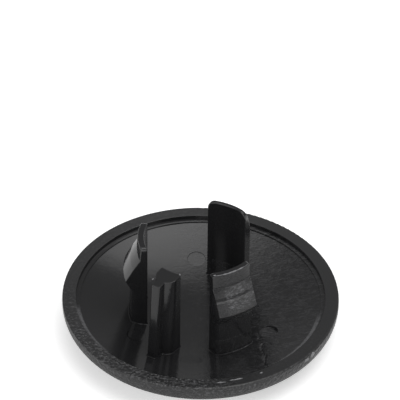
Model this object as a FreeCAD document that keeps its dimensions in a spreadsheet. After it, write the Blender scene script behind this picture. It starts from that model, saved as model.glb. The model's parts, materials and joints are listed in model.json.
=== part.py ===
"""Armrest cover cap: one moulded disc with a dished inside, three arc legs and a ribbed guide leg.

The cap lies on its crowned face with the legs up. The origin is the lowest point of that face, +Z runs
along the legs, and azimuths are counted from +X towards +Y. All sizes are in millimetres and degrees.
"""
import FreeCAD, Part
import math
import os
import Sketcher
from FreeCAD import Placement, Rotation, Vector

NODE = "armrest_cover_cap"

# Driving sizes, one row each: alias and number.
DRIVING_SIZES = [
    # disc
    ("cap_radius", 22.5),
    ("crown_height", 2.8),
    ("side_height", 3.4),
    ("shoulder_radius", 3.3),
    ("rim_round", 0.25),
    ("land_width", 2.25),
    ("land_step", 0.65),
    ("ledge_width", 0.65),
    ("ledge_fall", 0.12),
    ("ledge_step", 0.22),
    ("floor_depth", 4.0),
    # every leg
    ("ring_inner_radius", 9.2),
    ("side_round", 0.2),
    ("root_round", 0.2),
    ("edge_round", 0.15),
    ("leg_sweep", 60.0),
    ("trim_margin", 3.0),
    # plain leg
    ("plain_azimuth", 62.3),
    ("plain_width", 6.9),
    ("plain_height", 12.15),
    ("plain_thickness", 1.8),
    ("plain_tip_thickness", 0.55),
    ("plain_taper_length", 3.7),
    ("plain_corner_round", 1.15),
    # hooked legs
    ("first_hook_azimuth", 181.0),
    ("second_hook_azimuth", 300.0),
    ("hook_width", 6.8),
    ("hook_height", 12.6),
    ("hook_tip_thickness", 1.0),
    ("hook_lead_length", 2.6),
    ("hook_lead_growth", 0.2),
    ("hook_ramp_length", 1.75),
    ("hook_ramp_growth", 1.0),
    ("hook_nose_length", 2.5),
    ("hook_nose_growth", 1.2),
    ("hook_undercut", 1.1),
    ("hook_undercut_drop", 2.2),
    ("hook_body_draft", 0.1),
    ("hook_corner_round", 0.5),
    ("hook_back_round", 0.75),
    # guide leg
    ("guide_azimuth", 239.0),
    ("guide_width", 3.6),
    ("guide_height", 11.7),
    ("guide_depth", 2.95),
    ("guide_draft", 0.9),
    ("rib_thickness", 1.55),
    ("rib_shift", 0.2),
    ("rib_reach", 1.35),
    ("rib_draft", 1.6),
    ("rib_round", 0.3),
    # ejector pin marks on the floor
    ("pin_radius", 1.5),
    ("pin_distance", 12.4),
    ("pin_azimuth", 333.5),
    ("pin_count", 3),
    ("pin_recess", 0.05),
]

doc = FreeCAD.newDocument(NODE)
sheet = doc.addObject("Spreadsheet::Sheet", "Sizes")
for row, (alias, number) in enumerate(DRIVING_SIZES, start=1):
    sheet.set(f"A{row}", alias)
    sheet.set(f"B{row}", str(number))
    sheet.setAlias(f"B{row}", alias)
doc.recompute()


class Size:
    """A number with the sheet expression that it comes from, so that a formula is written once."""

    def __init__(self, number, text):
        self.number = float(number)
        self.text = text

    def __add__(self, other):
        other = as_size(other)
        return Size(self.number + other.number, f"({self.text} + {other.text})")

    def __sub__(self, other):
        other = as_size(other)
        return Size(self.number - other.number, f"({self.text} - {other.text})")

    def __mul__(self, other):
        other = as_size(other)
        return Size(self.number * other.number, f"({self.text} * {other.text})")

    def __truediv__(self, other):
        other = as_size(other)
        return Size(self.number / other.number, f"({self.text} / {other.text})")


def as_size(thing):
    return thing if isinstance(thing, Size) else Size(thing, str(thing))


def size(alias):
    return Size(sheet.get(alias), f"Sizes.{alias}")


ZERO = as_size(0)

# Levels above the face's lowest point, and radii, that several features share.
rim_level = size("crown_height") + size("side_height")
floor_level = rim_level - size("floor_depth")
land_inner = size("cap_radius") - size("land_width")
floor_edge = land_inner - size("ledge_width")
ledge_level = rim_level - size("land_step")
ledge_end_level = ledge_level - size("ledge_fall")
floor_edge_level = ledge_end_level - size("ledge_step")

body = doc.addObject("PartDesign::Body", NODE)


def bind(thing, path, length):
    thing.setExpression(path, length.text)


def origin_plane(role):
    return next(plane for plane in body.Origin.OriginFeatures if plane.Role == role)


def sketch_on(name, role, azimuth=ZERO, level=ZERO):
    """A sketch on an origin plane, turned about Z by an azimuth and raised to a level."""
    sketch = body.newObject("Sketcher::SketchObject", name)
    sketch.AttachmentSupport = [(origin_plane(role), "")]
    sketch.MapMode = "FlatFace"
    flat = role == "XY_Plane"
    turn_axis = Vector(0, 0, 1) if flat else Vector(0, 1, 0)
    lift = Vector(0, 0, level.number) if flat else Vector(0, level.number, 0)
    sketch.AttachmentOffset = Placement(lift, Rotation(turn_axis, azimuth.number))
    if azimuth is not ZERO:
        bind(sketch, "AttachmentOffset.Rotation.Angle", azimuth)
    if level is not ZERO:
        bind(sketch, "AttachmentOffset.Base.z" if flat else "AttachmentOffset.Base.y", level)
    return sketch


def place(sketch, geometry, end, x, y):
    """Fix one end of an edge at x, y from the sketch's origin."""
    for kind, axis, coordinate in (("DistanceX", -2, x), ("DistanceY", -1, y)):
        if coordinate is None:
            continue
        if coordinate.number == 0:
            sketch.addConstraint(Sketcher.Constraint("PointOnObject", geometry, end, axis))
        elif coordinate.number > 0:
            index = sketch.addConstraint(Sketcher.Constraint(kind, -1, 1, geometry, end, coordinate.number))
            bind(sketch, f"Constraints[{index}]", coordinate)
        else:
            mirrored = ZERO - coordinate
            index = sketch.addConstraint(Sketcher.Constraint(kind, geometry, end, -1, 1, mirrored.number))
            bind(sketch, f"Constraints[{index}]", mirrored)


def arc_about_axis(start, end):
    """The arc through two points of a section whose centre lies on the revolution axis."""
    (r0, z0), (r1, z1) = start, end
    centre = (r1**2 + z1**2 - r0**2 - z0**2) / (2 * (z1 - z0))
    radius = math.hypot(r0, z0 - centre)
    first = math.atan2(z0 - centre, r0)
    last = math.atan2(z1 - centre, r1)
    flipped = first > last
    low, high = sorted((first, last))
    circle = Part.Circle(Vector(0, centre, 0), Vector(0, 0, 1), radius)
    return Part.ArcOfCircle(circle, low, high), flipped


def outline(sketch, points, domes=()):
    """A closed outline through points. Edges that start at a point listed in domes are arcs about the axis."""
    count = len(points)
    ends = []
    for i, (x, y) in enumerate(points):
        next_x, next_y = points[(i + 1) % count]
        if i in domes:
            edge, flipped = arc_about_axis((x.number, y.number), (next_x.number, next_y.number))
        else:
            edge = Part.LineSegment(Vector(x.number, y.number, 0), Vector(next_x.number, next_y.number, 0))
            flipped = False
        geometry = sketch.addGeometry(edge, False)
        ends.append((geometry, 2, 1) if flipped else (geometry, 1, 2))
        if i in domes:
            sketch.addConstraint(Sketcher.Constraint("PointOnObject", geometry, 3, -2))
    for i in range(count):
        geometry, start, end = ends[i]
        following, following_start, following_end = ends[(i + 1) % count]
        sketch.addConstraint(Sketcher.Constraint("Coincident", geometry, end, following, following_start))
    place(sketch, ends[0][0], ends[0][1], *points[0])
    for i in range(1, count):
        x, y = points[i]
        last_x, last_y = points[i - 1]
        upright = x.text == last_x.text
        level = y.text == last_y.text
        if upright:
            sketch.addConstraint(Sketcher.Constraint("Vertical", ends[i - 1][0]))
        if level:
            sketch.addConstraint(Sketcher.Constraint("Horizontal", ends[i - 1][0]))
        place(sketch, ends[i][0], ends[i][1], None if upright else x, None if level else y)


def revolve(name, sketch, angle=None):
    """Turn a section about Z, all round or by an angle centred on the sketch."""
    feature = body.newObject("PartDesign::Revolution", name)
    feature.Profile = sketch
    feature.ReferenceAxis = (sketch, ["V_Axis"])
    feature.Angle = 360
    if angle is not None:
        feature.Midplane = True
        feature.Angle = angle.number
        bind(feature, "Angle", angle)
    return feature


def leg_section(name, azimuth, points):
    """The section of an arc leg, given as radii and levels, in the radial plane at its azimuth."""
    sketch = sketch_on(name, "XZ_Plane", azimuth)
    outline(sketch, points)
    return sketch


TOUCH = 0.001
ARC_POINTS = 5
ring_inner = size("ring_inner_radius")
trim_margin = size("trim_margin")


def trim_leg(name, azimuth, width, height):
    """Cut a swept leg to parallel sides and a level tip, looking along its radius."""
    sketch = sketch_on(f"{name}_front", "YZ_Plane", azimuth)
    side = width / 2
    outside = size("cap_radius")
    tip = rim_level + height
    roof = tip + trim_margin
    foot = floor_level - trim_margin
    outline(
        sketch,
        [
            (side, foot),
            (outside, foot),
            (outside, roof),
            (ZERO - outside, roof),
            (ZERO - outside, foot),
            (ZERO - side, foot),
            (ZERO - side, tip),
            (side, tip),
        ],
    )
    cut = body.newObject("PartDesign::Pocket", f"{name}_trim")
    cut.Profile = sketch
    cut.Reversed = True
    reach = ring_inner * 2
    cut.Length = reach.number
    bind(cut, "Length", reach)
    return cut


def is_tip_corner(edge, azimuth, width, height):
    """Whether an edge runs along the radius at a corner between a leg's side and its tip."""
    angle = math.radians(azimuth.number)
    across = Vector(-math.sin(angle), math.cos(angle), 0)
    tip = (rim_level + height).number
    offsets = [vertex.Point.dot(across) for vertex in edge.Vertexes]
    at_tip = all(abs(vertex.Z - tip) < TOUCH for vertex in edge.Vertexes)
    at_side = abs(abs(offsets[0]) - width.number / 2) < TOUCH
    return at_tip and at_side and abs(offsets[0] - offsets[-1]) < TOUCH


def is_back_upright(edge, azimuth, width, top):
    """Whether an edge stands at a leg's side and outer face, from the floor's level up to a level."""
    if len(edge.Vertexes) != 2:
        return False
    angle = math.radians(azimuth.number)
    across = Vector(-math.sin(angle), math.cos(angle), 0)
    low, high = sorted((vertex.Point for vertex in edge.Vertexes), key=lambda point: point.z)
    levels_fit = abs(low.z - floor_level.number) < TOUCH and abs(high.z - top.number) < TOUCH
    at_side = all(abs(abs(point.dot(across)) - width.number / 2) < TOUCH for point in (low, high))
    return levels_fit and at_side and math.hypot(low.x, low.y) > ring_inner.number + TOUCH


def round_edges(name, radius, test):
    """Round the edges of the body that pass a test."""
    base = body.Tip
    picked = [f"Edge{i}" for i, edge in enumerate(base.Shape.Edges, start=1) if test(edge)]
    fillet = body.newObject("PartDesign::Fillet", name)
    fillet.Base = (base, picked)
    fillet.Radius = radius.number
    bind(fillet, "Radius", radius)
    doc.recompute()
    return fillet


# Plain leg: a thin arc plate whose outer face leans in over the last stretch to the tip.
plain_tip = rim_level + size("plain_height")
plain_outer = ring_inner + size("plain_thickness")
plain_tip_outer = ring_inner + size("plain_tip_thickness")
plain_section = leg_section(
    "plain_leg_section",
    size("plain_azimuth"),
    [
        (ring_inner, floor_level),
        (ring_inner, plain_tip + trim_margin / 2),
        (plain_tip_outer, plain_tip + trim_margin / 2),
        (plain_tip_outer, plain_tip),
        (plain_outer, plain_tip - size("plain_taper_length")),
        (plain_outer, floor_level),
    ],
)
revolve("plain_leg", plain_section, size("leg_sweep"))
trim_leg("plain_leg", size("plain_azimuth"), size("plain_width"), size("plain_height"))
doc.recompute()
round_edges(
    "plain_leg_corners",
    size("plain_corner_round"),
    lambda edge: is_tip_corner(edge, size("plain_azimuth"), size("plain_width"), size("plain_height")),
)


# Hooked legs: below the tip the outer face leads out in three facets to a lip, then returns to the body.
hook_tip = rim_level + size("hook_height")
lead_end = hook_tip - size("hook_lead_length")
ramp_end = lead_end - size("hook_ramp_length")
lip_level = ramp_end - size("hook_nose_length")
hook_tip_outer = ring_inner + size("hook_tip_thickness")
lead_radius = hook_tip_outer + size("hook_lead_growth")
ramp_radius = lead_radius + size("hook_ramp_growth")
lip_radius = ramp_radius + size("hook_nose_growth")
hook_body_radius = lip_radius - size("hook_undercut")
hook_body_top = lip_level - size("hook_undercut_drop")
hook_points = [
    (ring_inner, floor_level),
    (ring_inner, hook_tip + trim_margin / 2),
    (hook_tip_outer, hook_tip + trim_margin / 2),
    (hook_tip_outer, hook_tip),
    (lead_radius, lead_end),
    (ramp_radius, ramp_end),
    (lip_radius, lip_level),
    (hook_body_radius, hook_body_top),
    (hook_body_radius + size("hook_body_draft"), floor_level),
]
for name in ("first_hook", "second_hook"):
    azimuth = size(f"{name}_azimuth")
    section = leg_section(f"{name}_section", azimuth, hook_points)
    revolve(name, section, size("leg_sweep"))
    trim_leg(name, azimuth, size("hook_width"), size("hook_height"))
    doc.recompute()
    round_edges(
        f"{name}_corners",
        size("hook_corner_round"),
        lambda edge: is_tip_corner(edge, azimuth, size("hook_width"), size("hook_height")),
    )
    round_edges(
        f"{name}_back",
        size("hook_back_round"),
        lambda edge: is_back_upright(edge, azimuth, size("hook_width"), hook_body_top),
    )

# Guide leg: a half-round post whose nose grows towards the floor, with a rib on its outside.
guide_azimuth = size("guide_azimuth")
guide_tip = rim_level + size("guide_height")


def post_section(name, level, depth):
    """The guide post's plan: an arc of the leg ring inside, parallel sides and a half-round nose."""
    sketch = sketch_on(name, "XY_Plane", guide_azimuth, level)
    half = size("guide_width").number / 2
    inner = ring_inner.number
    swing = math.asin(half / inner)
    corner = inner * math.cos(swing)
    centre = inner + depth.number - half
    up = Vector(0, 0, 1)
    back = sketch.addGeometry(Part.ArcOfCircle(Part.Circle(Vector(), up, inner), -swing, swing), False)
    nose_circle = Part.Circle(Vector(centre, 0, 0), up, half)
    nose = sketch.addGeometry(Part.ArcOfCircle(nose_circle, -math.pi / 2, math.pi / 2), False)
    right = sketch.addGeometry(Part.LineSegment(Vector(corner, -half, 0), Vector(centre, -half, 0)), False)
    left = sketch.addGeometry(Part.LineSegment(Vector(centre, half, 0), Vector(corner, half, 0)), False)
    sketch.addConstraint(Sketcher.Constraint("Coincident", back, 3, -1, 1))
    sketch.addConstraint(Sketcher.Constraint("Coincident", back, 1, right, 1))
    sketch.addConstraint(Sketcher.Constraint("Coincident", back, 2, left, 2))
    sketch.addConstraint(Sketcher.Constraint("Tangent", right, 2, nose, 1))
    sketch.addConstraint(Sketcher.Constraint("Tangent", nose, 2, left, 1))
    sketch.addConstraint(Sketcher.Constraint("Horizontal", right))
    sketch.addConstraint(Sketcher.Constraint("PointOnObject", nose, 3, -1))
    radius = sketch.addConstraint(Sketcher.Constraint("Radius", back, inner))
    bind(sketch, f"Constraints[{radius}]", ring_inner)
    width = sketch.addConstraint(Sketcher.Constraint("Radius", nose, half))
    bind(sketch, f"Constraints[{width}]", size("guide_width") / 2)
    place(sketch, nose, 3, ring_inner + depth - size("guide_width") / 2, None)
    return sketch


post = body.newObject("PartDesign::AdditiveLoft", "guide_post")
post.Profile = post_section("guide_post_foot", floor_level, size("guide_depth") + size("guide_draft"))
post.Sections = [post_section("guide_post_tip", guide_tip, size("guide_depth"))]

rib_root = ring_inner + size("guide_depth") / 2
rib_tip = ring_inner + size("guide_depth") + size("rib_reach")
rib_sketch = sketch_on("guide_rib_side", "XZ_Plane", guide_azimuth)
outline(
    rib_sketch,
    [
        (rib_root, floor_level),
        (rib_root, guide_tip),
        (rib_tip, guide_tip),
        (rib_tip + size("rib_draft"), floor_level),
    ],
)
rib = body.newObject("PartDesign::Pad", "guide_rib")
rib.Profile = rib_sketch
rib.SideType = "Two sides"
rib_left = size("rib_thickness") / 2 + size("rib_shift")
rib_right = size("rib_thickness") / 2 - size("rib_shift")
rib.Length = rib_left.number
rib.Length2 = rib_right.number
bind(rib, "Length", rib_left)
bind(rib, "Length2", rib_right)
doc.recompute()


def is_rib_upright(edge):
    """Whether an edge runs down the rib's outer face, from the tip to the floor's level."""
    angle = math.radians(guide_azimuth.number)
    outwards = Vector(math.cos(angle), math.sin(angle), 0)
    low, high = (edge.Vertexes[0].Point, edge.Vertexes[-1].Point)
    outside = min(low.dot(outwards), high.dot(outwards)) > rib_tip.number - TOUCH
    return outside and abs(low.z - high.z) > rim_level.number


round_edges("rib_edges", size("rib_round"), is_rib_upright)

# Disc: crowned face, rounded shoulder, flat land, two small steps and a dished floor.
disc_sketch = sketch_on("disc_section", "XZ_Plane")
outline(
    disc_sketch,
    [
        (ZERO, ZERO),
        (size("cap_radius"), size("crown_height")),
        (size("cap_radius"), rim_level),
        (land_inner, rim_level),
        (land_inner, ledge_level),
        (floor_edge, ledge_end_level),
        (floor_edge, floor_edge_level),
        (ZERO, floor_level),
    ],
    domes=(0, 6),
)
disc = revolve("disc", disc_sketch)
doc.recompute()


def is_circle_at(edge, radius, level):
    """Whether an edge is a whole circle about Z of a radius at a level."""
    return all(
        abs(vertex.Z - level.number) < TOUCH and abs(math.hypot(vertex.X, vertex.Y) - radius.number) < TOUCH
        for vertex in edge.Vertexes
    ) and abs(edge.Length - 2 * math.pi * radius.number) < 1


round_edges(
    "shoulder", size("shoulder_radius"), lambda edge: is_circle_at(edge, size("cap_radius"), size("crown_height"))
)
round_edges("rim", size("rim_round"), lambda edge: is_circle_at(edge, size("cap_radius"), rim_level))

# Roots of the legs: the upright inner edges are rounded first, then every edge on the dished floor.
sag = floor_edge_level.number - floor_level.number
dish_radius = (floor_edge.number**2 + sag**2) / (2 * sag)
dish_centre = Vector(0, 0, floor_level.number + dish_radius)


def is_inner_upright(edge):
    """Whether an edge stands on the dished floor at the legs' inner radius."""
    if edge.Degenerated or len(edge.Vertexes) != 2:
        return False
    on_ring = all(abs(math.hypot(end.X, end.Y) - ring_inner.number) < TOUCH for end in edge.Vertexes)
    upright = abs(edge.Vertexes[0].Z - edge.Vertexes[1].Z) > rim_level.number
    return on_ring and upright


def is_leg_root(edge):
    """Whether an edge lies on the dished floor inside its outer circle."""
    if edge.Degenerated:
        return False
    points = edge.discretize(ARC_POINTS)
    on_dish = all(abs(point.distanceToPoint(dish_centre) - dish_radius) < TOUCH for point in points)
    return on_dish and all(math.hypot(point.x, point.y) < floor_edge.number - TOUCH for point in points)


round_edges("leg_sides", size("side_round"), is_inner_upright)
round_edges("leg_roots", size("root_round"), is_leg_root)


def is_hook_edge(edge):
    """Whether an edge runs along a hooked leg's tip or lip, about Z."""
    if edge.Degenerated:
        return False
    points = edge.discretize(ARC_POINTS)
    for radius, level in ((ring_inner, hook_tip), (hook_tip_outer, hook_tip), (lip_radius, lip_level)):
        on_level = all(abs(point.z - level.number) < TOUCH for point in points)
        on_arc = all(abs(math.hypot(point.x, point.y) - radius.number) < TOUCH for point in points)
        if on_level and on_arc:
            return True
    return False


round_edges("hook_edges", size("edge_round"), is_hook_edge)

# Ejector pin marks: level discs sunk in the sloping floor, open upwards, evenly set about the axis.
pin_inner_share = (size("pin_distance") - size("pin_radius")) / floor_edge
pin_level = floor_level + (floor_edge_level - floor_level) * pin_inner_share * pin_inner_share - size("pin_recess")
pin_sketch = sketch_on("pin_mark_plan", "XY_Plane", size("pin_azimuth"), pin_level)
pin_circle = pin_sketch.addGeometry(
    Part.Circle(Vector(size("pin_distance").number, 0, 0), Vector(0, 0, 1), size("pin_radius").number), False
)
pin_bound = pin_sketch.addConstraint(Sketcher.Constraint("Radius", pin_circle, size("pin_radius").number))
bind(pin_sketch, f"Constraints[{pin_bound}]", size("pin_radius"))
place(pin_sketch, pin_circle, 3, size("pin_distance"), ZERO)
pin_mark = body.newObject("PartDesign::Pocket", "pin_mark")
pin_mark.Profile = pin_sketch
pin_mark.Reversed = True
pin_height = rim_level - pin_level
pin_mark.Length = pin_height.number
bind(pin_mark, "Length", pin_height)
pin_marks = body.newObject("PartDesign::PolarPattern", "pin_marks")
pin_marks.Originals = [pin_mark]
pin_marks.Axis = (next(line for line in body.Origin.OriginFeatures if line.Role == "Z_Axis"), [""])
pin_marks.Angle = 360
pin_marks.Occurrences = int(size("pin_count").number)
bind(pin_marks, "Occurrences", size("pin_count"))
body.Tip = pin_marks
doc.recompute()

# Nothing is written unless every feature holds and the cap is one sound solid.
for thing in doc.Objects:
    if "Invalid" in thing.State or "Error" in thing.State:
        raise RuntimeError(f"{thing.Name} is {thing.State}")
    if hasattr(thing, "Shape") and (thing.Shape.isNull() or not thing.Shape.isValid()):
        raise RuntimeError(f"{thing.Name} has no valid shape")
if len(body.Shape.Solids) != 1:
    raise RuntimeError(f"the cap has {len(body.Shape.Solids)} solids")
print("volume", round(body.Shape.Volume, 3), "faces", len(body.Shape.Faces))

os.makedirs("parts", exist_ok=True)
body.Shape.exportStep(f"parts/{NODE}.step")
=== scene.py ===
"""Armrest cover cap: the finish of the moulded solid, and the floor, light and camera around it.

Lengths are in metres, and MM turns millimetres into them. The cap lies on its crowned face with the legs
up: +Z runs along the legs, and the camera looks along +Y. Bearings are in degrees from +X towards +Y.
"""

import json
import math

import bmesh
import bpy
from mathutils import Matrix, Vector, noise


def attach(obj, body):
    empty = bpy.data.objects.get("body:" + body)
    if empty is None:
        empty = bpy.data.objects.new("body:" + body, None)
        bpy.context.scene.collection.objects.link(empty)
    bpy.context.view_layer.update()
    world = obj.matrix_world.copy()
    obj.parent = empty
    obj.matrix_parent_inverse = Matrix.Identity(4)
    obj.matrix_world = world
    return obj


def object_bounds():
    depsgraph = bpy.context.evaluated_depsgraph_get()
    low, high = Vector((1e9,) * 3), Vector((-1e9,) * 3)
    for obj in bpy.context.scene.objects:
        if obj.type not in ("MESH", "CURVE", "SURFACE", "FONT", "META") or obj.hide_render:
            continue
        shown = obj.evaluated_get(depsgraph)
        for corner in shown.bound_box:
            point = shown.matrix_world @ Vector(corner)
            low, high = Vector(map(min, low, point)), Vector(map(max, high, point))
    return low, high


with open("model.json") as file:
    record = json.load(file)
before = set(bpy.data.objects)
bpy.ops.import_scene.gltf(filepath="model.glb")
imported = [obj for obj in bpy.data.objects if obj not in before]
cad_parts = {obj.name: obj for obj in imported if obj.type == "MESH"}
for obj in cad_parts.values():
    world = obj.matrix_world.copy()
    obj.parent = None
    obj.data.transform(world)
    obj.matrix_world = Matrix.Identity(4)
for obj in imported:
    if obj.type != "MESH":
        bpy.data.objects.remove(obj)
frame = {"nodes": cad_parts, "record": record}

bl_info = {
    "name": "Armrest cover cap",
    "version": (1, 0, 0),
    "blender": (4, 5, 0),
    "location": "View3D > Sidebar > Cap",
    "description": "Finishes a moulded cap and sets it on a lit floor",
    "category": "Object",
}

MM = 0.001
NODE = "armrest_cover_cap"
CAD_LOW, CAD_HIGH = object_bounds()
CAP_RADIUS = (CAD_HIGH.x - CAD_LOW.x) / 2
MOUNTS = {mount["name"]: Vector(mount["pos_m"]) for mount in frame["record"]["mounts"]}
RIM_LEVEL = MOUNTS["rim_land"].z
PLASTIC_IOR = 1.49
# The specular level of the plastic, and the lower one on the fillets at the roots of the legs, painted shade
# that hides their highlight.
FULL_GLEAM = 0.5
ROOT_SHADE_GLEAM = 0.08
# The upward part of a normal: at least this on the floor, and at most this on the legs' sides.
FLOOR_UP = 0.93
LEG_UP = 0.1

# The middle of the wall: its level on the axis, and its rise per square metre of radius.
WALL_LEVEL = 1.1 * MM
WALL_RISE = 6.6
# Direction of the front hook from the axis, and along its width.
HOOK_OUTWARDS = Vector((math.cos(math.radians(300)), math.sin(math.radians(300)), 0))
HOOK_ACROSS = Vector((-HOOK_OUTWARDS.y, HOOK_OUTWARDS.x, 0))
# Where the lead of the front hook ends, above the land.
LEAD_END = 10.0 * MM
# Creases of the front hook: level above the land, and depth.
CREASES = ((LEAD_END, 0.06 * MM), (8.2 * MM, 0.26 * MM))
CREASE_HALF_WIDTH = 0.38 * MM
# The wavy flow line: place along X, how far it wanders, lean against Y, half the width, and depth.
FLOW_LINE_PLACE = 9.85 * MM
FLOW_LINE_WANDER = 2.2 * MM
FLOW_LINE_LEAN = 0.12
FLOW_LINE_HALF_WIDTH = 0.3 * MM
FLOW_LINE_DEPTH = 0.12 * MM
# Pale stretches of the step inside the land: radius of the step, middle, reach and strength.
PALE_STRETCHES = (
    (20.0 * MM, (-18.0 * MM, -8.4 * MM, RIM_LEVEL), 7 * MM, 2.0),
    (19.55 * MM, (16.7 * MM, -10.4 * MM, RIM_LEVEL), 8.4 * MM, 1.3),
)

GUIDE_TIP = RIM_LEVEL + 11.7 * MM
LAND_CREST = RIM_LEVEL + 0.01 * MM
SIDE_LEVEL = RIM_LEVEL - 0.6 * MM
# Flash and nicks: name, radius, level, first and last bearing, width, height and raggedness.
FLASH = (
    ("hook_tip_flash", 10.12 * MM, CAD_HIGH.z, 283, 318, 0.15 * MM, 0.16 * MM, 1.2),
    ("hook_tip_curl", 9.95 * MM, CAD_HIGH.z, 281.5, 284, 0.26 * MM, 0.24 * MM, 0.8),
    ("guide_tip_nib", 9.3 * MM, GUIDE_TIP + 0.02 * MM, 248.2, 249.8, 0.2 * MM, 0.4 * MM, 0.8),
    ("guide_tip_shred", 12.3 * MM, GUIDE_TIP, 231.6, 232.6, 0.4 * MM, 0.2 * MM, 0.8),
    ("land_flash_front_1", 21.25 * MM, LAND_CREST, 277, 281.5, 0.14 * MM, 0.16 * MM, 1.4),
    ("land_flash_front_2", 21.05 * MM, LAND_CREST, 283, 289, 0.18 * MM, 0.22 * MM, 1.4),
    ("land_flash_front_3", 21.0 * MM, LAND_CREST, 297, 298.4, 0.26 * MM, 0.3 * MM, 1.0),
    ("rim_nick_1", 22.45 * MM, SIDE_LEVEL, 321.8, 324.6, 0.34 * MM, 0.9 * MM, 1.0),
    ("rim_nick_2", 22.47 * MM, SIDE_LEVEL, 318, 320.6, 0.36 * MM, 0.7 * MM, 1.0),
)
# Ridges of flash: sides of the section, length of a step, size of the bumps and least share at the ends.
RIDGE_SIDES = 8
RIDGE_STEP = 0.15 * MM
RIDGE_BUMP = 0.6 * MM
RIDGE_END = 0.15
# Pin prints: name, bearing, distance from the axis, radius, level of the middle and slope of the floor.
PIN_PRINTS = (
    ("pin_print_back", 93.5, 12.4 * MM, 1.49 * MM, 3.14 * MM, 12),
    ("pin_print_left", 213.5, 12.4 * MM, 1.49 * MM, 3.14 * MM, 12),
    ("pin_print_front", 263.8, 13.1 * MM, 1.8 * MM, 3.33 * MM, 8.5),
)
PRINT_SIDES = 64
PRINT_DEPTH = 0.5 * MM
PRINT_BEVEL = 0.03 * MM

# How bright the surroundings are to the cap, how much the paper glows to the camera, and half its width.
TENT_STRENGTH = 0.3
PAPER_GLOW = 0.45
PAPER_HALF_WIDTH = 2.0
# Softboxes: name, radiance, width, height, place and aim, counted from the middle of the land's level.
SOFTBOX_ABOVE = ("softbox above", 2.9, 0.8, 0.7, (0.2, 0.1, 0.6), (0.2, 0.1, -0.4))
SOFTBOX_RIGHT = ("softbox right", 2.2, 0.5, 0.3, (0.58, -0.4, 0.15), (0, 0, 0.15))
SOFTBOX_FRONT = ("softbox front", 2.0, 1.1, 0.7, (-0.42, -0.75, 0.37), (0, 0, 0))
# The brightest point of the softbox above, how far its light reaches and the least that is left.
BULB_PLACE = (0.2, 0.02, 0.6)
BULB_REACH = 0.5
BULB_LEAST = 0.12
SENSOR_WIDTH = 36


def linear(code):
    """A colour written as sRGB hex, as the linear RGBA that sockets take."""
    values = [int(code[i : i + 2], 16) / 255 for i in (1, 3, 5)]
    return [v / 12.92 if v <= 0.04045 else ((v + 0.055) / 1.055) ** 2.4 for v in values] + [1.0]


def add_node(tree, kind, inputs=None, **settings):
    """Add a node to a tree, with its settings, and give each input a value or a link."""
    node = tree.nodes.new(kind)
    for name, value in settings.items():
        setattr(node, name, value)
    for name, value in (inputs or {}).items():
        socket = node.inputs[name]
        if isinstance(value, bpy.types.NodeSocket):
            tree.links.new(value, socket)
        else:
            socket.default_value = value
    return node


class CapFinishSettings(bpy.types.PropertyGroup):
    """Colour, gloss, grain and marks of the moulded plastic."""

    plastic: bpy.props.FloatVectorProperty(
        name="Plastic", description="Colour of the moulded plastic", subtype="COLOR", size=4,
        default=linear("#1c1c1d"),
    )
    # This colour also paints the glint specks on the grain.
    haze_and_glints: bpy.props.FloatVectorProperty(
        name="Haze", description="Colour of the plastic where it is hazy or rubbed pale", subtype="COLOR",
        size=4, default=linear("#58585a"),
    )
    # This pale colour is partly the flash's whitening and partly a painted glint.
    flash: bpy.props.FloatVectorProperty(
        name="Flash", description="Colour of the torn flash", subtype="COLOR", size=4,
        default=linear("#6e6e70"),
    )
    gloss_roughness: bpy.props.FloatProperty(
        name="Gloss roughness", description="Roughness of the polished inside and legs", default=0.14, min=0,
        max=1, subtype="FACTOR",
    )
    grain_roughness: bpy.props.FloatProperty(
        name="Grain roughness", description="Roughness of the grained land, side and face", default=0.36,
        min=0, max=1, subtype="FACTOR",
    )
    grain_size: bpy.props.FloatProperty(
        name="Grain size", description="Width of one pebble of the grain", default=0.5 * MM, unit="LENGTH"
    )
    grain_depth: bpy.props.FloatProperty(
        name="Grain depth", description="Height of a pebble over its valleys", default=0.15 * MM,
        unit="LENGTH",
    )
    flow_size: bpy.props.FloatProperty(
        name="Flow size", description="Width of the swirls in the right of the floor", default=0.9 * MM,
        unit="LENGTH",
    )
    flow_depth: bpy.props.FloatProperty(
        name="Flow depth", description="Height of the swirls", default=0.05 * MM, unit="LENGTH"
    )
    ripple_size: bpy.props.FloatProperty(
        name="Ripple size", description="Width of the slow ripples in the polished floor", default=5 * MM,
        unit="LENGTH",
    )
    ripple_depth: bpy.props.FloatProperty(
        name="Ripple depth", description="Height of the slow ripples", default=0.03 * MM, unit="LENGTH"
    )
    scuff_size: bpy.props.FloatProperty(
        name="Scuff size", description="Width of the pits on the ramp of the front hook", default=0.35 * MM,
        unit="LENGTH",
    )
    scuff_depth: bpy.props.FloatProperty(
        name="Scuff depth", description="Depth of those pits", default=0.1 * MM, unit="LENGTH"
    )
    edge_radius: bpy.props.FloatProperty(
        name="Edge radius", description="Rounding that the eye sees on sharp edges", default=0.18 * MM,
        unit="LENGTH",
    )
    land_width: bpy.props.FloatProperty(
        name="Land width", description="Width of the grained land round the inside", default=2.25 * MM,
        unit="LENGTH",
    )
    land_fall: bpy.props.FloatProperty(
        name="Land fall", description="Slope of the land towards the inside", subtype="ANGLE",
        default=math.radians(7.0),
    )


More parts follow.
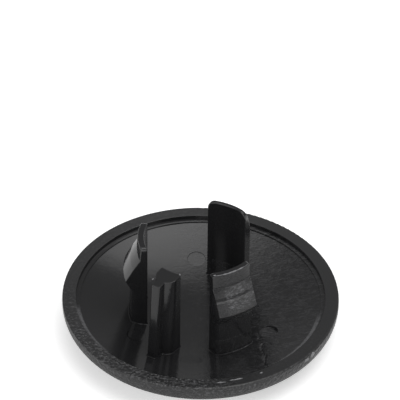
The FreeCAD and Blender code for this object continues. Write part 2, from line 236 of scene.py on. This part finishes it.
class CapStageSettings(bpy.types.PropertyGroup):
    """Floor and camera."""

    elevation: bpy.props.FloatProperty(
        name="Camera elevation", description="Angle of the camera above the rim", subtype="ANGLE",
        default=math.radians(41),
    )
    distance: bpy.props.FloatProperty(
        name="Camera distance", description="From the rim's centre", default=562.5 * MM, unit="LENGTH"
    )
    lens: bpy.props.FloatProperty(
        name="Lens", description="Focal length in millimetres", default=311.2, unit="CAMERA"
    )
    aim_drop: bpy.props.FloatProperty(
        name="Aim", description="How far the camera aims above the rim's centre", subtype="ANGLE",
        default=math.radians(1.576),
    )
    aim_side: bpy.props.FloatProperty(
        name="Aim to the side", description="How far the camera aims left of the axis", subtype="ANGLE",
        default=math.radians(0.038),
    )
    roll: bpy.props.FloatProperty(
        name="Roll", description="How far the camera is turned about its own axis", subtype="ANGLE",
        default=math.radians(0.7),
    )
    floor_colour: bpy.props.FloatVectorProperty(
        name="Floor", description="Colour of the paper floor", subtype="COLOR", size=4,
        default=linear("#f4f4f4"),
    )


def empty_material(name):
    """A material whose node tree is still empty."""
    material = bpy.data.materials.new(name)
    material.use_nodes = True
    material.node_tree.nodes.clear()
    return material


def cap_fields(tree, settings):
    """Where a point lies on the cap, and masks of the parts that differ in finish."""
    place = add_node(tree, "ShaderNodeTexCoord").outputs["Object"]
    parts = add_node(tree, "ShaderNodeSeparateXYZ", {"Vector": place}).outputs
    flat = add_node(tree, "ShaderNodeCombineXYZ", {"X": parts["X"], "Y": parts["Y"]}).outputs[0]
    radius = add_node(tree, "ShaderNodeVectorMath", {0: flat}, operation="LENGTH").outputs["Value"]
    land_start = CAP_RADIUS - settings.land_width
    on_land = add_node(
        tree,
        "ShaderNodeMapRange",
        {"Value": radius, "From Min": land_start + 0.02 * MM, "From Max": land_start + 0.1 * MM},
    ).outputs[0]
    # The middle of the wall rises from the axis to the land as a parabola; below it is the crowned face.
    square = add_node(tree, "ShaderNodeMath", {0: radius, 1: 2.0}, operation="POWER").outputs[0]
    middle = add_node(
        tree, "ShaderNodeMath", {0: square, 1: WALL_RISE, 2: WALL_LEVEL}, operation="MULTIPLY_ADD"
    ).outputs[0]
    on_face = add_node(tree, "ShaderNodeMath", {0: parts["Z"], 1: middle}, operation="LESS_THAN").outputs[0]
    grained = add_node(tree, "ShaderNodeMath", {0: on_land, 1: on_face}, operation="MAXIMUM").outputs[0]
    polished = add_node(tree, "ShaderNodeMath", {0: 1.0, 1: grained}, operation="SUBTRACT").outputs[0]
    low = add_node(tree, "ShaderNodeMath", {0: parts["Z"], 1: RIM_LEVEL}, operation="LESS_THAN").outputs[0]
    on_floor = add_node(tree, "ShaderNodeMath", {0: polished, 1: low}, operation="MULTIPLY").outputs[0]

    # The outer side of the front hook, from its nose to its tip.
    out = add_node(
        tree, "ShaderNodeVectorMath", {0: place, 1: HOOK_OUTWARDS}, operation="DOT_PRODUCT"
    ).outputs["Value"]
    outside = add_node(
        tree, "ShaderNodeMapRange", {"Value": out, "From Min": 9.6 * MM, "From Max": 10.6 * MM}
    ).outputs[0]
    high = add_node(
        tree, "ShaderNodeMath", {0: parts["Z"], 1: RIM_LEVEL + 5 * MM}, operation="GREATER_THAN"
    ).outputs[0]
    on_hook = add_node(tree, "ShaderNodeMath", {0: outside, 1: high}, operation="MULTIPLY").outputs[0]
    return {
        "place": place,
        "x": parts["X"],
        "y": parts["Y"],
        "z": parts["Z"],
        "radius": radius,
        "grained": grained,
        "on_floor": on_floor,
        "on_hook": on_hook,
    }


def leather_grain(tree, at, settings):
    """The height of the grain, the finer noise within it, and a mask of where it is rubbed rough.

    Pebbles of this kind are often finer than the setting; they are drawn as coarse as they need to show.
    """
    pebbles = add_node(
        tree,
        "ShaderNodeTexVoronoi",
        {"Vector": at["place"], "Scale": 1 / settings.grain_size, "Smoothness": 0.5, "Randomness": 1.0},
        feature="SMOOTH_F1",
    ).outputs["Distance"]
    fine = add_node(
        tree, "ShaderNodeTexNoise", {"Vector": at["place"], "Scale": 1 / settings.grain_size, "Detail": 2.0}
    ).outputs["Fac"]
    grain = add_node(tree, "ShaderNodeMath", {0: pebbles, 1: fine}, operation="SUBTRACT").outputs[0]
    # It is rubbed rough on the front left of the land and all round the side, and stays even elsewhere; the
    # same mask places the painted glint specks.
    to_front = add_node(
        tree,
        "ShaderNodeMapRange",
        {"Value": at["y"], "From Min": 2 * MM, "From Max": -14 * MM, "To Min": 0.16, "To Max": 1.0},
    ).outputs[0]
    to_left = add_node(
        tree,
        "ShaderNodeMapRange",
        {"Value": at["x"], "From Min": 0.0, "From Max": 7 * MM, "To Min": 1.0, "To Max": 0.12},
    ).outputs[0]
    on_side = add_node(
        tree,
        "ShaderNodeMapRange",
        {"Value": at["z"], "From Min": RIM_LEVEL, "From Max": RIM_LEVEL - 0.4 * MM},
    ).outputs[0]
    rubbed = add_node(tree, "ShaderNodeMath", {0: to_front, 1: to_left}, operation="MULTIPLY").outputs[0]
    rubbed = add_node(tree, "ShaderNodeMath", {0: rubbed, 1: on_side}, operation="MAXIMUM").outputs[0]
    for factor in (rubbed, at["grained"], -settings.grain_depth):
        grain = add_node(tree, "ShaderNodeMath", {0: grain, 1: factor}, operation="MULTIPLY").outputs[0]
    return grain, fine, rubbed


def flow_swirls(tree, at, settings):
    """Swirls where the melt front ran over the right of the floor, and hazy streaks over them.

    Both fade to the left.
    """
    turned = add_node(
        tree,
        "ShaderNodeMapping",
        {"Vector": at["place"], "Rotation": (0, 0, math.radians(35)), "Scale": (1.0, 2.2, 1.0)},
    ).outputs[0]
    swirl = add_node(
        tree,
        "ShaderNodeTexNoise",
        {
            "Vector": turned,
            "Scale": 0.7 / settings.flow_size,
            "Detail": 3.0,
            "Roughness": 0.6,
            "Distortion": 1.4,
        },
    ).outputs["Fac"]
    streaks = add_node(
        tree, "ShaderNodeMapRange", {"Value": swirl, "From Min": 0.45, "From Max": 0.7, "To Max": 0.2}
    ).outputs[0]
    to_right = add_node(
        tree,
        "ShaderNodeMapRange",
        {"Value": at["x"], "From Min": -6 * MM, "From Max": 9 * MM, "To Min": 0.12, "To Max": 1.0},
    ).outputs[0]
    floor_right = add_node(
        tree, "ShaderNodeMath", {0: to_right, 1: at["on_floor"]}, operation="MULTIPLY"
    ).outputs[0]
    swirl = add_node(tree, "ShaderNodeMath", {0: swirl, 1: floor_right}, operation="MULTIPLY").outputs[0]
    streaks = add_node(tree, "ShaderNodeMath", {0: streaks, 1: floor_right}, operation="MULTIPLY").outputs[0]
    return swirl, streaks


def flow_line(tree, at):
    """A mask of the wavy line that runs from the right pin mark to the front of the floor."""
    wander = add_node(
        tree, "ShaderNodeTexNoise", {"Vector": at["place"], "Scale": 1 / (1.6 * MM), "Detail": 2.0}
    ).outputs["Fac"]
    line = at["x"]
    for value, factor in ((wander, FLOW_LINE_WANDER), (at["y"], FLOW_LINE_LEAN)):
        line = add_node(
            tree, "ShaderNodeMath", {0: value, 1: factor, 2: line}, operation="MULTIPLY_ADD"
        ).outputs[0]
    line = add_node(tree, "ShaderNodeMath", {0: line, 1: FLOW_LINE_PLACE}, operation="SUBTRACT").outputs[0]
    line = add_node(tree, "ShaderNodeMath", {0: line}, operation="ABSOLUTE").outputs[0]
    line = add_node(
        tree,
        "ShaderNodeMapRange",
        {"Value": line, "From Min": 0.0, "From Max": FLOW_LINE_HALF_WIDTH, "To Min": 1.0, "To Max": 0.0},
    ).outputs[0]
    to_front = add_node(
        tree, "ShaderNodeMapRange", {"Value": at["y"], "From Min": -5.5 * MM, "From Max": -8 * MM}
    ).outputs[0]
    for mask in (to_front, at["on_floor"]):
        line = add_node(tree, "ShaderNodeMath", {0: line, 1: mask}, operation="MULTIPLY").outputs[0]
    return line


def hook_creases(tree, at, height):
    """Sink two fine creases across the front hook, where its lead, ramp and nose meet."""
    for level, depth in CREASES:
        off = add_node(
            tree, "ShaderNodeMath", {0: at["z"], 1: RIM_LEVEL + level}, operation="SUBTRACT"
        ).outputs[0]
        off = add_node(tree, "ShaderNodeMath", {0: off}, operation="ABSOLUTE").outputs[0]
        crease = add_node(
            tree,
            "ShaderNodeMapRange",
            {"Value": off, "From Min": 0.0, "From Max": CREASE_HALF_WIDTH, "To Min": -depth, "To Max": 0.0},
        ).outputs[0]
        height = add_node(
            tree, "ShaderNodeMath", {0: crease, 1: at["on_hook"], 2: height}, operation="MULTIPLY_ADD"
        ).outputs[0]
    return height


def pale_step(tree, at, fine, haze_and_glints):
    """Make the step inside the land paler in two stretches in front."""
    for radius, centre, reach, strength in PALE_STRETCHES:
        off = add_node(tree, "ShaderNodeMath", {0: at["radius"], 1: radius}, operation="SUBTRACT").outputs[0]
        off = add_node(tree, "ShaderNodeMath", {0: off}, operation="ABSOLUTE").outputs[0]
        on_step = add_node(
            tree,
            "ShaderNodeMapRange",
            {"Value": off, "From Min": 0.2 * MM, "From Max": 0.45 * MM, "To Min": 1.0, "To Max": 0.0},
        ).outputs[0]
        far = add_node(
            tree, "ShaderNodeVectorMath", {0: at["place"], 1: centre}, operation="DISTANCE"
        ).outputs["Value"]
        pale = add_node(
            tree,
            "ShaderNodeMapRange",
            {"Value": far, "From Min": 0.6 * reach, "From Max": reach, "To Min": 1.0, "To Max": 0.0},
        ).outputs[0]
        for factor in (on_step, fine):
            pale = add_node(tree, "ShaderNodeMath", {0: pale, 1: factor}, operation="MULTIPLY").outputs[0]
        haze_and_glints = add_node(
            tree, "ShaderNodeMath", {0: pale, 1: strength, 2: haze_and_glints}, operation="MULTIPLY_ADD", use_clamp=True
        ).outputs[0]
    return haze_and_glints


def painted_grain_glints(tree, at, rubbed, settings):
    """Painted glints: pale specks on the rubbed crests of the grain, standing in for its sparkle."""
    specks = add_node(
        tree,
        "ShaderNodeTexNoise",
        {"Vector": at["place"], "Scale": 1.1 / settings.grain_size, "Detail": 2.0, "Roughness": 0.7},
    ).outputs["Fac"]
    specks = add_node(
        tree, "ShaderNodeMapRange", {"Value": specks, "From Min": 0.52, "From Max": 0.72, "To Max": 0.7}
    ).outputs[0]
    for mask in (rubbed, at["grained"]):
        specks = add_node(tree, "ShaderNodeMath", {0: specks, 1: mask}, operation="MULTIPLY").outputs[0]
    return specks


def hook_scuffs(tree, at, drawn, settings):
    """Pale scuffs on the ramp and nose of the front hook, few on its lead and none along its left edge."""
    scuffs = add_node(
        tree,
        "ShaderNodeTexNoise",
        {
            "Vector": drawn,
            "Scale": 0.75 / settings.scuff_size,
            "Detail": 4.0,
            "Roughness": 0.7,
            "Distortion": 0.4,
        },
    ).outputs["Fac"]
    scuffs = add_node(
        tree, "ShaderNodeMapRange", {"Value": scuffs, "From Min": 0.47, "From Max": 0.66, "To Max": 0.9}
    ).outputs[0]
    below_lead = add_node(
        tree,
        "ShaderNodeMapRange",
        {
            "Value": at["z"],
            "From Min": RIM_LEVEL + LEAD_END + 0.1 * MM,
            "From Max": RIM_LEVEL + LEAD_END - 0.1 * MM,
            "To Min": 0.25,
            "To Max": 1.0,
        },
    ).outputs[0]
    above_nose = add_node(
        tree,
        "ShaderNodeMapRange",
        {"Value": at["z"], "From Min": RIM_LEVEL + 5.9 * MM, "From Max": RIM_LEVEL + 6.9 * MM},
    ).outputs[0]
    across = add_node(
        tree, "ShaderNodeVectorMath", {0: at["place"], 1: HOOK_ACROSS}, operation="DOT_PRODUCT"
    ).outputs["Value"]
    off_edge = add_node(
        tree,
        "ShaderNodeMapRange",
        {"Value": across, "From Min": -1.9 * MM, "From Max": -1.5 * MM, "To Min": 0.1, "To Max": 1.0},
    ).outputs[0]
    for mask in (below_lead, at["on_hook"], off_edge, above_nose):
        scuffs = add_node(tree, "ShaderNodeMath", {0: scuffs, 1: mask}, operation="MULTIPLY").outputs[0]
    return scuffs


def root_painted_shade(tree, at, true_normal):
    """The specular level, cut low on the fillets at the roots of the legs as painted shade that hides their
    highlight.
    """
    up = add_node(tree, "ShaderNodeSeparateXYZ", {"Vector": true_normal}).outputs["Z"]
    steep = add_node(tree, "ShaderNodeMath", {0: up, 1: FLOOR_UP}, operation="LESS_THAN").outputs[0]
    leans = add_node(tree, "ShaderNodeMath", {0: up, 1: LEG_UP}, operation="GREATER_THAN").outputs[0]
    sunk = add_node(
        tree, "ShaderNodeMath", {0: at["z"], 1: RIM_LEVEL - 1.2 * MM}, operation="LESS_THAN"
    ).outputs[0]
    root = add_node(tree, "ShaderNodeMath", {0: steep, 1: leans}, operation="MULTIPLY").outputs[0]
    root = add_node(tree, "ShaderNodeMath", {0: root, 1: sunk}, operation="MULTIPLY").outputs[0]
    return add_node(
        tree, "ShaderNodeMath", {0: root, 1: ROOT_SHADE_GLEAM - FULL_GLEAM, 2: FULL_GLEAM}, operation="MULTIPLY_ADD"
    ).outputs[0]


def moulded_polypropylene(settings):
    """Black moulded polypropylene: polished inside and legs, leather grain on land, side and crowned face.

    The polished steel of the inner mould half leaves a wet-looking gloss with slow ripples, and the etched
    outer half leaves a fine pebble grain that breaks the light into specks.
    """
    material = empty_material("black moulded polypropylene")
    tree = material.node_tree
    at = cap_fields(tree, settings)
    grain, fine, rubbed = leather_grain(tree, at, settings)
    swirl, streaks = flow_swirls(tree, at, settings)
    # Slow ripples of the polished side, where the melt cooled against the steel.
    ripple = add_node(
        tree,
        "ShaderNodeTexNoise",
        {
            "Vector": at["place"],
            "Scale": 1 / settings.ripple_size,
            "Detail": 3.0,
            "Roughness": 0.5,
            "Distortion": 0.6,
        },
    ).outputs["Fac"]
    # Pits on the ramp and nose of the front hook, drawn out across it.
    drawn = add_node(tree, "ShaderNodeMapping", {"Vector": at["place"], "Scale": (0.8, 0.8, 1.9)}).outputs[0]
    pits = add_node(
        tree,
        "ShaderNodeTexNoise",
        {
            "Vector": drawn,
            "Scale": 1 / settings.scuff_size,
            "Detail": 2.0,
            "Roughness": 0.6,
            "Distortion": 0.5,
        },
    ).outputs["Fac"]
    pits = add_node(tree, "ShaderNodeMath", {0: pits, 1: at["on_hook"]}, operation="MULTIPLY").outputs[0]
    # The land falls a little towards the inside.
    fall = add_node(
        tree,
        "ShaderNodeMapRange",
        {
            "Value": at["radius"],
            "From Min": CAP_RADIUS - settings.land_width,
            "From Max": CAP_RADIUS,
            "To Max": settings.land_width * math.tan(settings.land_fall),
        },
    ).outputs[0]
    height = add_node(tree, "ShaderNodeMath", {0: grain, 1: fall}, operation="ADD").outputs[0]
    height = hook_creases(tree, at, height)
    for pattern, depth in (
        (flow_line(tree, at), -FLOW_LINE_DEPTH),
        (swirl, settings.flow_depth),
        (ripple, settings.ripple_depth),
        (pits, settings.scuff_depth),
    ):
        height = add_node(
            tree, "ShaderNodeMath", {0: pattern, 1: depth, 2: height}, operation="MULTIPLY_ADD"
        ).outputs[0]

    # Only the legs and the rim's outer edge look rounded; the roots of the legs stay crisp.
    above = add_node(
        tree, "ShaderNodeMath", {0: at["z"], 1: RIM_LEVEL - 0.5 * MM}, operation="GREATER_THAN"
    ).outputs[0]
    edges = add_node(tree, "ShaderNodeBevel", {"Radius": settings.edge_radius}, samples=6).outputs[0]
    geometry = add_node(tree, "ShaderNodeNewGeometry").outputs
    facing = add_node(
        tree, "ShaderNodeMix", {"Factor": above, "A": geometry["Normal"], "B": edges}, data_type="VECTOR"
    ).outputs["Result"]
    bump = add_node(
        tree, "ShaderNodeBump", {"Strength": 1.0, "Distance": 1.0, "Height": height, "Normal": facing}
    ).outputs[0]
    roughness = add_node(
        tree,
        "ShaderNodeMix",
        {"Factor": at["grained"], "A": settings.gloss_roughness, "B": settings.grain_roughness},
        data_type="FLOAT",
    ).outputs[0]
    roughness = add_node(
        tree, "ShaderNodeMath", {0: at["on_hook"], 1: 0.2, 2: roughness}, operation="MULTIPLY_ADD"
    ).outputs[0]

    haze_and_glints = pale_step(tree, at, fine, streaks)
    # The painted glints on the grain and the scuffs on the hook are added here.
    for marks in (painted_grain_glints(tree, at, rubbed, settings), hook_scuffs(tree, at, drawn, settings)):
        haze_and_glints = add_node(
            tree, "ShaderNodeMath", {0: haze_and_glints, 1: marks}, operation="ADD", use_clamp=True
        ).outputs[0]
    colour = add_node(
        tree, "ShaderNodeMix", {"Factor": haze_and_glints, "A": settings.plastic, "B": settings.haze_and_glints}, data_type="RGBA"
    ).outputs["Result"]
    surface = add_node(
        tree,
        "ShaderNodeBsdfPrincipled",
        {
            "Base Color": colour,
            "Roughness": roughness,
            # Painted shade: the specular level drops on the roots of the legs.
            "Specular IOR Level": root_painted_shade(tree, at, geometry["True Normal"]),
            "IOR": PLASTIC_IOR,
            "Normal": bump,
        },
    )
    add_node(tree, "ShaderNodeOutputMaterial", {"Surface": surface.outputs[0]})
    return material


def flash_whitened_and_glinting(settings):
    """Thin torn flash: the same plastic, stretched until it went pale, and its pale colour also paints the
    glints that make its shreds show as specks.
    """
    material = empty_material("stress-whitened polypropylene")
    tree = material.node_tree
    surface = add_node(
        tree,
        "ShaderNodeBsdfPrincipled",
        {"Base Color": settings.flash, "Roughness": 0.32, "IOR": PLASTIC_IOR},
    )
    add_node(tree, "ShaderNodeOutputMaterial", {"Surface": surface.outputs[0]})
    return material


class CAP_OT_mould_finish(bpy.types.Operator):
    """Give the moulded cap its polished and grained plastic"""

    bl_idname = "cap.mould_finish"
    bl_label = "Mould finish"

    def execute(self, context):
        cap = frame["nodes"][NODE]
        cap.data.materials.clear()
        cap.data.materials.append(moulded_polypropylene(context.scene.cap_finish))
        return {"FINISHED"}


def add_piece(name, shape, material):
    """Turn a finished shape into a piece of the cap."""
    mesh = bpy.data.meshes.new(name)
    shape.to_mesh(mesh)
    shape.free()
    mesh.materials.append(material)
    piece = bpy.data.objects.new(name, mesh)
    bpy.context.scene.collection.objects.link(piece)
    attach(piece, "root")
    return piece


def ring_section(name, material, radius, level, start, end, width, height, rough):
    """A thin ridge of flash round the axis, from one bearing to another, with a ragged crest."""
    ridge = bmesh.new()
    place = Matrix.Translation((radius, 0, level)) @ Matrix.Rotation(math.pi / 2, 4, "X")
    section = place @ Matrix.Diagonal((width, height, 1, 1))
    bmesh.ops.create_circle(ridge, cap_ends=True, segments=RIDGE_SIDES, radius=0.5, matrix=section)
    turn = Matrix.Rotation(math.radians(start), 3, "Z")
    bmesh.ops.rotate(ridge, cent=(0, 0, 0), matrix=turn, verts=ridge.verts)
    sweep = math.radians(end - start)
    bmesh.ops.spin(
        ridge,
        geom=ridge.verts[:] + ridge.edges[:] + ridge.faces[:],
        cent=(0, 0, 0),
        axis=(0, 0, 1),
        angle=sweep,
        steps=max(8, int(radius * sweep / RIDGE_STEP)),
        use_duplicate=False,
    )
    middle = (start + end) / 2
    for vert in ridge.verts:
        angle = math.atan2(vert.co.y, vert.co.x)
        bearing = math.degrees(angle) % 360
        taper = 1 - (abs(bearing - middle) / (end - start) * 2) ** 4
        bump = 1 + rough * noise.noise(vert.co / RIDGE_BUMP)
        spine = Vector((radius * math.cos(angle), radius * math.sin(angle), level))
        vert.co = spine + (vert.co - spine) * max(RIDGE_END, taper) * bump
    bmesh.ops.recalc_face_normals(ridge, faces=ridge.faces)
    piece = add_piece(name, ridge, material)
    piece.data.shade_smooth()


class CAP_OT_flash(bpy.types.Operator):
    """Leave thin flash on the front hook's tip, the guide's tip and the land, and two nicks on the side"""

    bl_idname = "cap.flash"
    bl_label = "Flash"

    def execute(self, context):
        plastic = flash_whitened_and_glinting(context.scene.cap_finish)
        for name, *shape in FLASH:
            ring_section(name, plastic, *shape)
        return {"FINISHED"}


class CAP_OT_pin_prints(bpy.types.Operator):
    """Lay faint round ejector pin prints flush with the floor"""

    bl_idname = "cap.pin_prints"
    bl_label = "Pin prints"

    def execute(self, context):
        plastic = frame["nodes"][NODE].data.materials[0]
        for name, bearing, distance, radius, level, slope in PIN_PRINTS:
            disc = bmesh.new()
            bmesh.ops.create_cone(
                disc,
                cap_ends=True,
                segments=PRINT_SIDES,
                radius1=radius,
                radius2=radius - PRINT_BEVEL,
                depth=PRINT_DEPTH,
            )
            turn = Matrix.Rotation(math.radians(bearing), 4, "Z")
            lean = Matrix.Rotation(math.radians(-slope), 4, "Y")
            place = turn @ Matrix.Translation((distance, 0, level)) @ lean
            bmesh.ops.transform(disc, matrix=place, verts=disc.verts)
            add_piece(name, disc, plastic)
        return {"FINISHED"}


def paper_floor(settings):
    """White paper: matt, and white to the camera, with the cap's soft shadow left on it."""
    material = empty_material("white paper")
    tree = material.node_tree
    paper = add_node(tree, "ShaderNodeBsdfDiffuse", {"Color": settings.floor_colour})
    glow = add_node(
        tree, "ShaderNodeEmission", {"Color": settings.floor_colour, "Strength": PAPER_GLOW}
    )
    lit = add_node(tree, "ShaderNodeAddShader", {0: paper.outputs[0], 1: glow.outputs[0]})
    ray = add_node(tree, "ShaderNodeLightPath")
    seen = add_node(
        tree,
        "ShaderNodeMixShader",
        {"Fac": ray.outputs["Is Camera Ray"], 1: paper.outputs[0], 2: lit.outputs[0]},
    )
    add_node(tree, "ShaderNodeOutputMaterial", {"Surface": seen.outputs[0]})
    return material


def pale_tent(world):
    """Surround the cap with an even dim light that the camera sees as white."""
    world.use_nodes = True
    tree = world.node_tree
    tree.nodes.clear()
    ray = add_node(tree, "ShaderNodeLightPath")
    tent = add_node(
        tree, "ShaderNodeBackground", {"Color": linear("#ffffff"), "Strength": TENT_STRENGTH}
    )
    white = add_node(tree, "ShaderNodeBackground", {"Color": linear("#ffffff"), "Strength": 1.0})
    seen = add_node(
        tree,
        "ShaderNodeMixShader",
        {"Fac": ray.outputs["Is Camera Ray"], 1: tent.outputs[0], 2: white.outputs[0]},
    )
    add_node(tree, "ShaderNodeOutputWorld", {"Surface": seen.outputs[0]})


def softbox(middle, name, radiance, width, height, place, aim):
    """A rectangular area light of one radiance, with its place and aim counted from a middle."""
    light = bpy.data.lights.new(name, "AREA")
    light.shape = "RECTANGLE"
    light.size = width
    light.size_y = height
    light.energy = radiance * math.pi * width * height
    lamp = bpy.data.objects.new(name, light)
    bpy.context.scene.collection.objects.link(lamp)
    lamp.location = middle + Vector(place)
    lamp.rotation_euler = (Vector(aim) - Vector(place)).to_track_quat("-Z", "Y").to_euler()
    return lamp


def fade_from(lamp, centre, reach, least):
    """Let a lamp fall off from a brightest point in its plane, as one bulb behind its cloth does."""
    lamp.data.use_nodes = True
    tree = lamp.data.node_tree
    tree.nodes.clear()
    place = add_node(tree, "ShaderNodeNewGeometry").outputs["Position"]
    far = add_node(
        tree, "ShaderNodeVectorMath", {0: place, 1: centre}, operation="DISTANCE"
    ).outputs["Value"]
    far = add_node(tree, "ShaderNodeMath", {0: far, 1: 1 / reach}, operation="MULTIPLY").outputs[0]
    drop = add_node(tree, "ShaderNodeMath", {0: far, 1: 2.0}, operation="POWER").outputs[0]
    left = add_node(tree, "ShaderNodeMath", {0: 1.0, 1: drop}, operation="SUBTRACT").outputs[0]
    left = add_node(tree, "ShaderNodeMath", {0: left, 1: least}, operation="MAXIMUM").outputs[0]
    glow = add_node(tree, "ShaderNodeEmission", {"Strength": left})
    add_node(tree, "ShaderNodeOutputLight", {"Surface": glow.outputs[0]})


def aimed_camera(middle, settings):
    """A camera in front of the cap that looks down at it."""
    data = bpy.data.cameras.new("camera")
    data.lens = settings.lens
    data.sensor_width = SENSOR_WIDTH
    data.clip_start = 0.01
    data.clip_end = 10
    camera = bpy.data.objects.new("camera", data)
    rise = settings.elevation
    camera.location = middle + settings.distance * Vector((0, -math.cos(rise), math.sin(rise)))
    pitch = rise - settings.aim_drop
    aim = Matrix.Rotation(settings.aim_side, 3, "Z") @ Matrix.Rotation(math.pi / 2 - pitch, 3, "X")
    camera.rotation_euler = (aim @ Matrix.Rotation(settings.roll, 3, "Z")).to_euler()
    return camera


class CAP_OT_stage(bpy.types.Operator):
    """Set the floor, the light and the camera"""

    bl_idname = "cap.stage"
    bl_label = "Floor, light and camera"

    def execute(self, context):
        settings = context.scene.cap_stage
        sheet = bmesh.new()
        bmesh.ops.create_grid(sheet, x_segments=1, y_segments=1, size=PAPER_HALF_WIDTH)
        mesh = bpy.data.meshes.new("floor")
        sheet.to_mesh(mesh)
        sheet.free()
        mesh.materials.append(paper_floor(settings))
        floor = bpy.data.objects.new("floor", mesh)
        context.scene.collection.objects.link(floor)

        context.scene.world = bpy.data.worlds.new("tent")
        pale_tent(context.scene.world)
        middle = Vector((0, 0, RIM_LEVEL))
        fade_from(softbox(middle, *SOFTBOX_ABOVE), middle + Vector(BULB_PLACE), BULB_REACH, BULB_LEAST)
        softbox(middle, *SOFTBOX_RIGHT)
        softbox(middle, *SOFTBOX_FRONT)

        camera = aimed_camera(middle, settings)
        context.scene.collection.objects.link(camera)
        bpy.context.scene.camera = camera
        context.scene.view_settings.view_transform = "Standard"
        return {"FINISHED"}


class CAP_PT_panel(bpy.types.Panel):
    """Settings and steps of the cap"""

    bl_idname = "CAP_PT_panel"
    bl_label = "Armrest cover cap"
    bl_space_type = "VIEW_3D"
    bl_region_type = "UI"
    bl_category = "Cap"

    def draw(self, context):
        for settings in (context.scene.cap_finish, context.scene.cap_stage):
            box = self.layout.box()
            for name in settings.__annotations__:
                box.prop(settings, name)
        for operator in STEPS:
            self.layout.operator(operator.bl_idname)


STEPS = (CAP_OT_mould_finish, CAP_OT_flash, CAP_OT_pin_prints, CAP_OT_stage)
CLASSES = (CapFinishSettings, CapStageSettings, *STEPS, CAP_PT_panel)


def register():
    for cls in CLASSES:
        bpy.utils.register_class(cls)
    bpy.types.Scene.cap_finish = bpy.props.PointerProperty(type=CapFinishSettings)
    bpy.types.Scene.cap_stage = bpy.props.PointerProperty(type=CapStageSettings)


def unregister():
    del bpy.types.Scene.cap_stage
    del bpy.types.Scene.cap_finish
    for cls in reversed(CLASSES):
        bpy.utils.unregister_class(cls)


def main():
    register()
    bpy.ops.cap.mould_finish()
    bpy.ops.cap.flash()
    bpy.ops.cap.pin_prints()
    bpy.ops.cap.stage()


if __name__ == "__main__":
    main()
